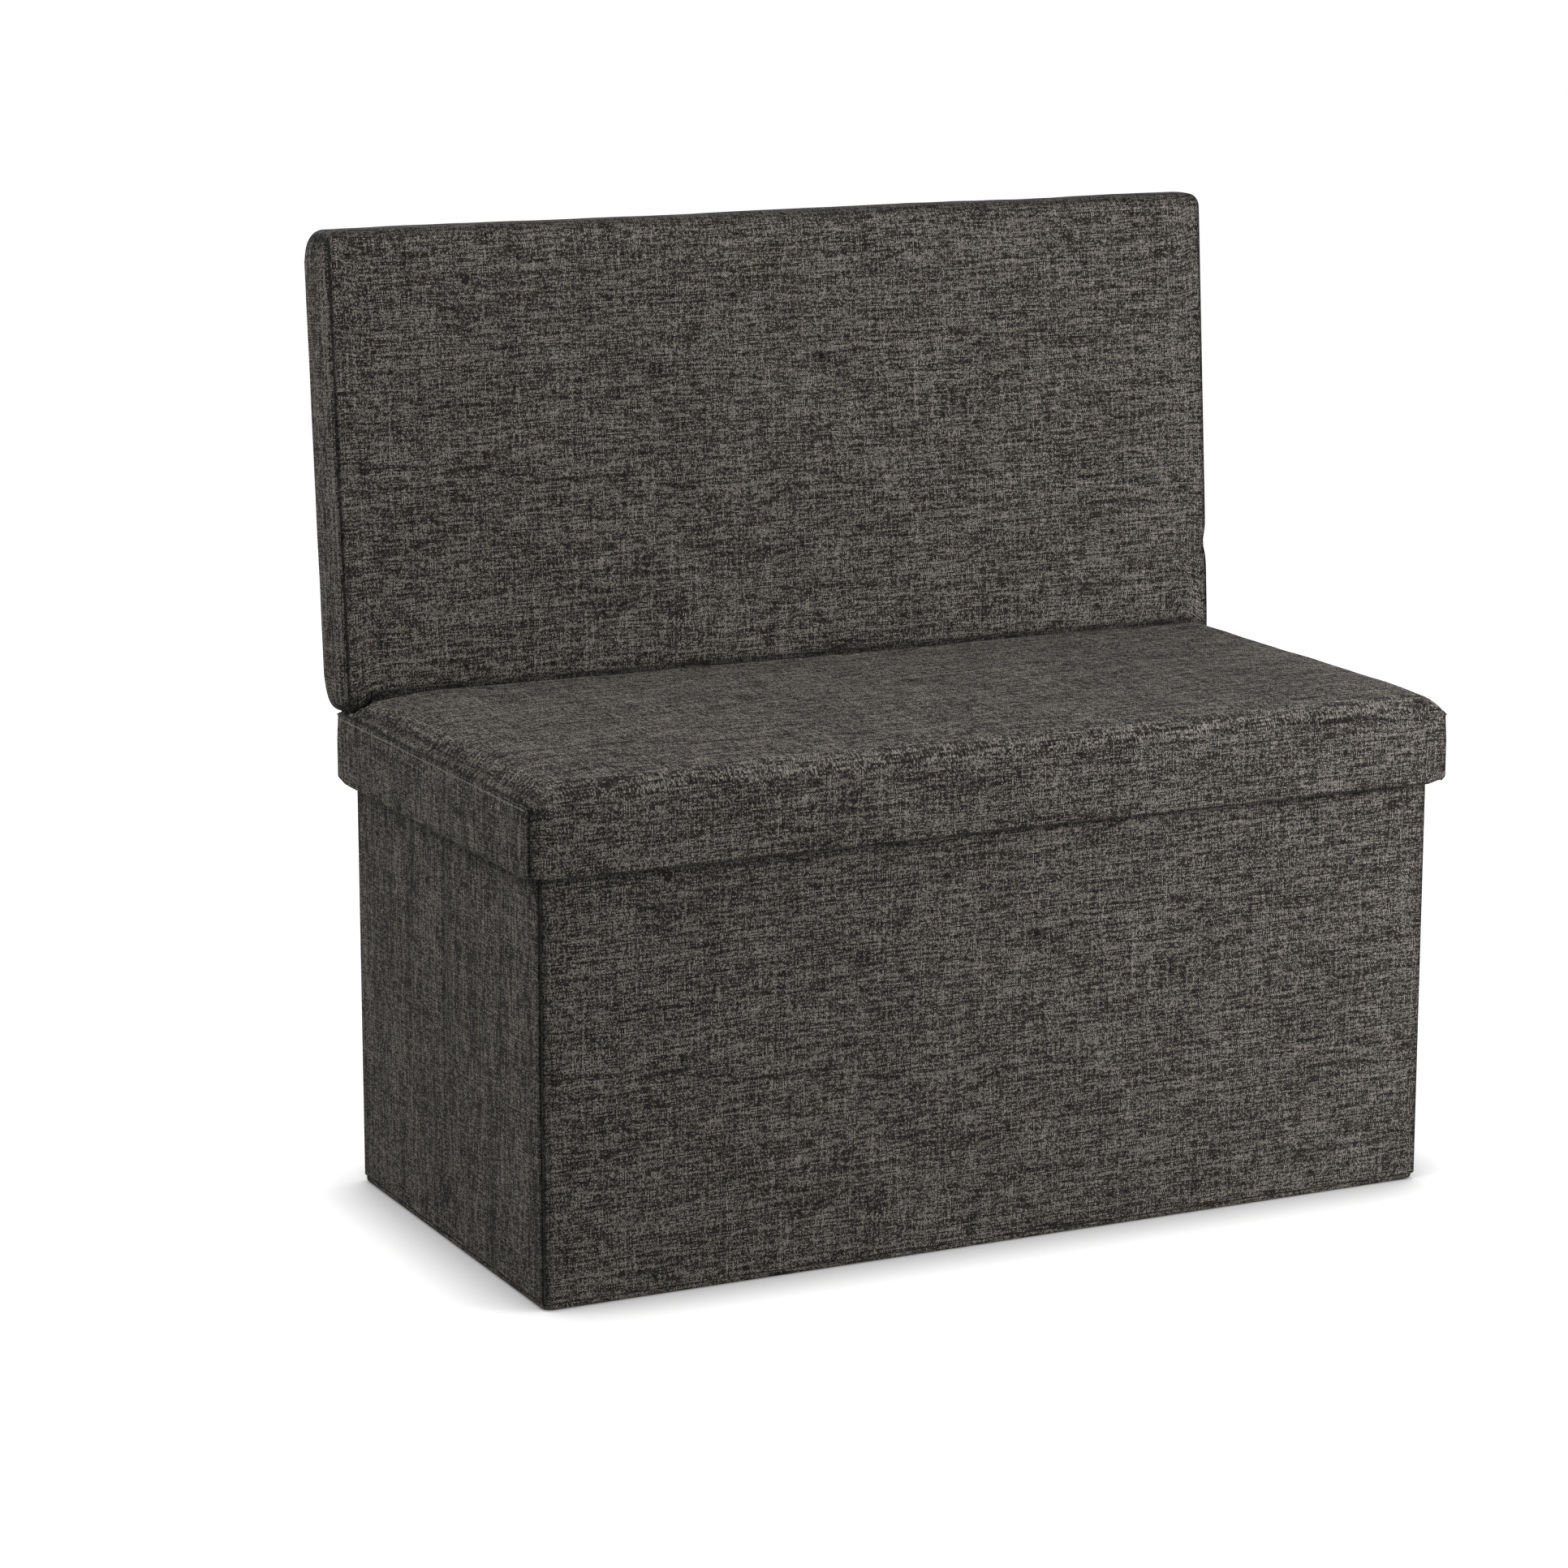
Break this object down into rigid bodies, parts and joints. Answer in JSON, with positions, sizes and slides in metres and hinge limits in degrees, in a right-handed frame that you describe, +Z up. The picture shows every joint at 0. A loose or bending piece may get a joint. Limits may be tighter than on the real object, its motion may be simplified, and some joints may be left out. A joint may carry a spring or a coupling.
{
  "type": "folding storage bench",
  "caption": "Folding upholstered storage bench: fabric covered box with creased side walls, padded lift-off lid and a padded backrest that folds down on it.",
  "frame": {"origin": "on the floor, under the middle of the lid and of the box", "axes": "+Z up, +X along the bench's width to the sitter's left, the front faces -Y and the backrest stands at +Y"},
  "size_m": [0.76, 0.4305, 0.7303],
  "materials": {
    "linen": "matte",
    "lining": "matte",
    "fibreboard": "matte",
    "foam": "matte"
  },
  "bodies": {
    "base": {"floor_board": "fibreboard", "floor_cover": "lining", "back_wall_board": "fibreboard", "back_wall_cover": "linen", "back_wall_lining": "lining"},
    "left_rear_half": {"left_rear_board": "fibreboard", "left_rear_cover": "linen", "left_rear_lining": "lining"},
    "left_front_half": {"left_front_board": "fibreboard", "left_front_cover": "linen", "left_front_lining": "lining"},
    "front_wall": {"front_wall_board": "fibreboard", "front_wall_cover": "linen", "front_wall_lining": "lining"},
    "right_rear_half": {"right_rear_board": "fibreboard", "right_rear_cover": "linen", "right_rear_lining": "lining"},
    "right_front_half": {"right_front_board": "fibreboard", "right_front_cover": "linen", "right_front_lining": "lining"},
    "lid": {"lid_board": "fibreboard", "lid_lining": "lining", "seat_foam": "foam", "seat_cover": "linen", "skirt_front_board": "fibreboard", "skirt_back_board": "fibreboard", "skirt_left_board": "fibreboard", "skirt_right_board": "fibreboard", "skirt_cover": "linen", "hinge_strip": "linen"},
    "backrest": {"backrest_board": "fibreboard", "backrest_foam": "foam", "backrest_front_panel": "linen", "backrest_band": "linen", "backrest_back_panel": "linen"}
  },
  "joints": [
    {"name": "left_rear_fold", "type": "hinge", "parent": "base", "child": "left_rear_half", "pos_m": [-0.3565, 0.1665, 0.18], "axis": [0, 0, -1], "range_deg": [-88, 0]},
    {"name": "left_middle_fold", "type": "hinge", "parent": "left_rear_half", "child": "left_front_half", "pos_m": [-0.3685, 0, 0.18], "axis": [0, 0, -1], "range_deg": [0, 176]},
    {"name": "left_front_fold", "type": "hinge", "parent": "left_front_half", "child": "front_wall", "pos_m": [-0.3565, -0.1665, 0.18], "axis": [0, 0, -1], "range_deg": [-88, 0]},
    {"name": "right_rear_fold", "type": "hinge", "parent": "base", "child": "right_rear_half", "pos_m": [0.3565, 0.1665, 0.18], "axis": [0, 0, -1], "range_deg": [0, 88]},
    {"name": "right_middle_fold", "type": "hinge", "parent": "right_rear_half", "child": "right_front_half", "pos_m": [0.3685, 0, 0.18], "axis": [0, 0, -1], "range_deg": [-176, 0]},
    {"name": "lid_lift", "type": "slide", "parent": "base", "child": "lid", "axis": [0, 0, 1], "range_m": [0, 0.42]},
    {"name": "backrest_hinge", "type": "hinge", "parent": "lid", "child": "backrest", "pos_m": [0, 0.162, 0.3895], "axis": [1, 0, 0], "range_deg": [0, 92]}
  ],
  "couplings": [
    {"joint": "left_middle_fold", "follows": "left_rear_fold", "ratio": -2},
    {"joint": "left_front_fold", "follows": "left_rear_fold", "ratio": 1},
    {"joint": "right_rear_fold", "follows": "left_rear_fold", "ratio": -1},
    {"joint": "right_middle_fold", "follows": "left_rear_fold", "ratio": 2}
  ]
}
